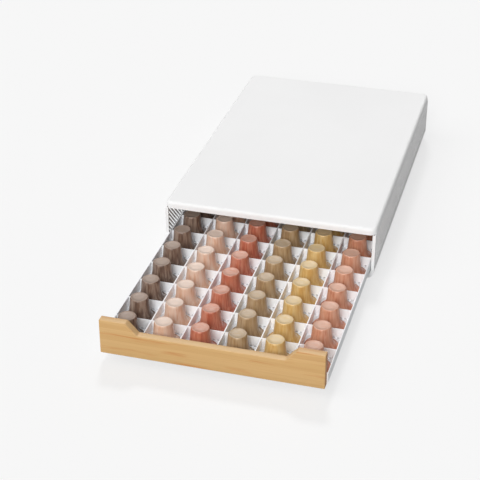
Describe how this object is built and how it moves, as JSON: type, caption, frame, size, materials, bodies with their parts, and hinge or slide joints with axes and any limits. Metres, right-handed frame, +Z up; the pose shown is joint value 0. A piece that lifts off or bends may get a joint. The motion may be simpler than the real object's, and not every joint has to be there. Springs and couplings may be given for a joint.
{
  "type": "coffee pod drawer",
  "caption": "Flat white steel sleeve with slanted side slots and a pull-out tray that has a bamboo front, a low egg-crate and upside-down coffee pods.",
  "frame": {"origin": "on the ground, under the middle of the box round the sleeve and the pulled-out drawer", "axes": "+X to the right of someone facing the drawer, +Y towards the back of the sleeve, +Z up"},
  "size_m": [0.2496, 0.627, 0.0664],
  "materials": {
    "white_steel": "satin white powder coat, fine grained",
    "bamboo": "clear matt lacquer on laminated bamboo",
    "rivet_steel": "satin white",
    "screw_steel": "plated, satin",
    "foot_rubber": "matt",
    "runner_plastic": "matt natural acetal",
    "lid_foil": "satin foil",
    "pod_dark": "satin dark brown",
    "pod_peach": "satin peach",
    "pod_red": "satin red-orange",
    "pod_khaki": "satin khaki brown",
    "pod_yellow": "satin yellow ochre",
    "pod_salmon": "satin salmon"
  },
  "bodies": {
    "sleeve": {"roof_panel": "white_steel", "base_pan": "white_steel", "left_side_grille": "white_steel", "right_side_grille": "white_steel", "back_panel": "white_steel", "back_rivets": "rivet_steel", "rubber_feet": "foot_rubber", "left_runner": "runner_plastic", "right_runner": "runner_plastic"},
    "drawer": {"tray_pan": "white_steel", "tray_catches": "white_steel", "bamboo_front": "bamboo", "front_screws": "screw_steel", "long_divider_1": "white_steel", "long_divider_2": "white_steel", "long_divider_3": "white_steel", "long_divider_4": "white_steel", "long_divider_5": "white_steel", "cross_divider_1": "white_steel", "cross_divider_2": "white_steel", "cross_divider_3": "white_steel", "cross_divider_4": "white_steel", "cross_divider_5": "white_steel", "cross_divider_6": "white_steel", "cross_divider_7": "white_steel", "cross_divider_8": "white_steel", "pods_dark": "pod_dark", "pods_peach": "pod_peach", "pods_red": "pod_red", "pods_khaki": "pod_khaki", "pods_yellow": "pod_yellow", "pods_salmon": "pod_salmon", "lids_dark": "lid_foil", "lids_peach": "lid_foil", "lids_red": "lid_foil", "lids_khaki": "lid_foil", "lids_yellow": "lid_foil", "lids_salmon": "lid_foil"}
  },
  "joints": [
    {"name": "drawer_slide", "type": "slide", "parent": "sleeve", "child": "drawer", "axis": [0, -1, 0], "range_m": [-0.2344, 0.0556]}
  ]
}
